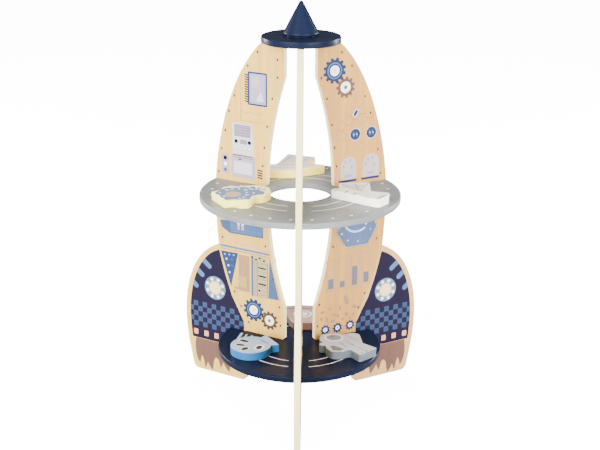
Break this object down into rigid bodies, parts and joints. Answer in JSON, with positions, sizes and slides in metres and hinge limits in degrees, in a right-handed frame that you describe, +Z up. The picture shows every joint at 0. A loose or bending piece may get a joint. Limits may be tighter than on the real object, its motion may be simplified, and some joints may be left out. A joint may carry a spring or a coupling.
{
  "type": "wooden toy space rocket",
  "caption": "Slot-together plywood toy rocket: three upright fin boards, two round play decks, a crown disc with a nose cone, and loose flat play figures lying on the decks.",
  "frame": {"origin": "on the floor, under the middle of the toy's bounding box; the rocket's own axis stands 23.9 mm behind it (+Y)", "axes": "+Z up along the rocket's axis, -Y towards the front board, +X to the right seen from the front"},
  "size_m": [0.366, 0.3696, 0.6083],
  "materials": {
    "printed_plywood": "clear matt lacquer over birch plywood with printed panels",
    "navy_paint": "semi-gloss navy paint",
    "grey_paint": "satin light grey paint",
    "beech": "bare beech dowel",
    "zinc_steel": "zinc plated",
    "natural_figure": "bare edges with a printed, lacquered face",
    "white_figure": "satin white paint",
    "blue_figure": "satin blue paint with a pale printed face",
    "grey_figure": "satin light grey paint",
    "brown_figure": "satin brown paint with a pale printed face"
  },
  "bodies": {
    "rocket": {"front_board": "printed_plywood", "right_board": "printed_plywood", "left_board": "printed_plywood", "middle_deck": "grey_paint", "lower_deck": "navy_paint", "crown_disc": "navy_paint", "nose_cone": "navy_paint", "nose_screw": "zinc_steel", "front_board_dowel_1": "beech", "front_board_dowel_2": "beech", "right_board_dowel_1": "beech", "right_board_dowel_2": "beech", "left_board_dowel_1": "beech", "left_board_dowel_2": "beech"},
    "comet": {"comet_figure": "natural_figure"},
    "satellite": {"satellite_figure": "white_figure"},
    "shuttle": {"shuttle_figure": "natural_figure"},
    "pod": {"pod_figure": "blue_figure"},
    "astronaut": {"astronaut_figure": "grey_figure"},
    "capsule": {"capsule_figure": "brown_figure"}
  },
  "joints": [
    {"name": "comet_lift", "type": "slide", "parent": "rocket", "child": "comet", "axis": [0, 0, 1], "range_m": [0, 0.08]},
    {"name": "satellite_lift", "type": "slide", "parent": "rocket", "child": "satellite", "axis": [0, 0, 1], "range_m": [0, 0.08]},
    {"name": "shuttle_lift", "type": "slide", "parent": "rocket", "child": "shuttle", "axis": [0, 0, 1], "range_m": [0, 0.08]},
    {"name": "pod_lift", "type": "slide", "parent": "rocket", "child": "pod", "axis": [0, 0, 1], "range_m": [0, 0.08]},
    {"name": "astronaut_lift", "type": "slide", "parent": "rocket", "child": "astronaut", "axis": [0, 0, 1], "range_m": [0, 0.08]},
    {"name": "capsule_lift", "type": "slide", "parent": "rocket", "child": "capsule", "axis": [0, 0, 1], "range_m": [0, 0.08]}
  ]
}
